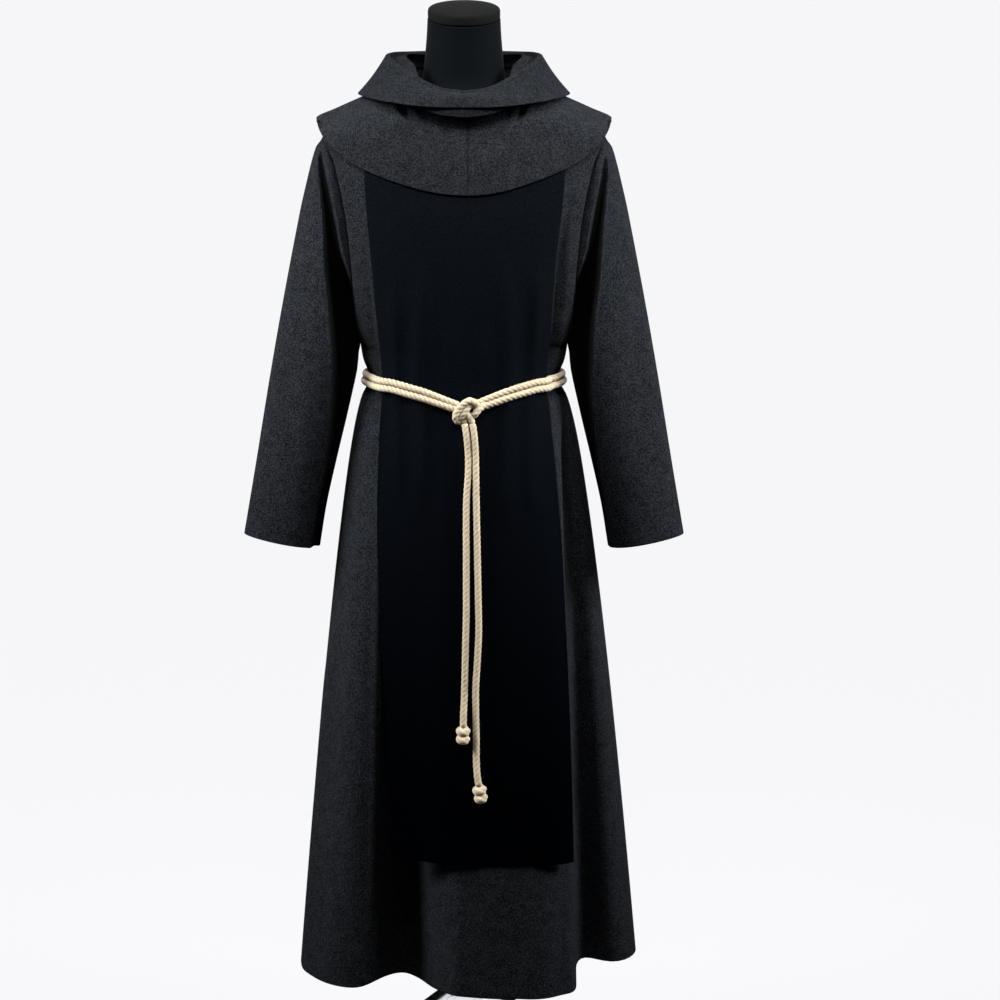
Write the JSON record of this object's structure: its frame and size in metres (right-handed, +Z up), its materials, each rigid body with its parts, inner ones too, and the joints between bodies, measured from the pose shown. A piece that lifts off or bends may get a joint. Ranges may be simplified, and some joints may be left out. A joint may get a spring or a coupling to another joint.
{
  "type": "monk habit on a dress form",
  "caption": "Hooded wool monk habit with long sleeves, a dark scapular, a shoulder cape and a knotted rope cincture, worn on a limbless dress form with a chrome stand.",
  "frame": {"origin": "on the floor under the middle of the whole object; the body's axis and the pole stand 27.7 mm in front of it, because the back leg reaches past the cloth", "axes": "+Z up, the habit faces -Y, +X is at the viewer's right"},
  "size_m": [0.69, 0.4525, 1.6752],
  "materials": {
    "tunic_wool": "charcoal heather wool, milled, dull nap",
    "cape_wool": "the same wool, a shade lighter, dull nap",
    "scapular_serge": "blue-black fine twill, soft",
    "cotton_rope": "cream twisted cotton",
    "form_jersey": "black jersey stretched over a padded form",
    "cap_fabric": "olive-black covered cap",
    "stand_chrome": "polished chrome tube",
    "foot_rubber": "black moulded rubber"
  },
  "bodies": {
    "root": {"tunic_front": "tunic_wool", "tunic_back": "tunic_wool", "sleeve_left": "tunic_wool", "sleeve_right": "tunic_wool", "cape_left": "cape_wool", "cape_right": "cape_wool", "hood_turned_edge": "cape_wool", "hood_neck": "cape_wool", "hood_pouch": "cape_wool", "scapular_front": "scapular_serge", "scapular_back": "scapular_serge", "cincture_upper": "cotton_rope", "cincture_lower": "cotton_rope", "cincture_knot": "cotton_rope", "tail_left": "cotton_rope", "end_knot_left": "cotton_rope", "tail_right": "cotton_rope", "end_knot_right": "cotton_rope", "form_torso": "form_jersey", "neck_cap": "cap_fabric", "stand_pole": "stand_chrome", "stand_hub": "stand_chrome", "leg_front_left": "stand_chrome", "leg_front_right": "stand_chrome", "leg_back": "stand_chrome", "foot_front_left": "foot_rubber", "foot_front_right": "foot_rubber", "foot_back": "foot_rubber"}
  },
  "joints": []
}
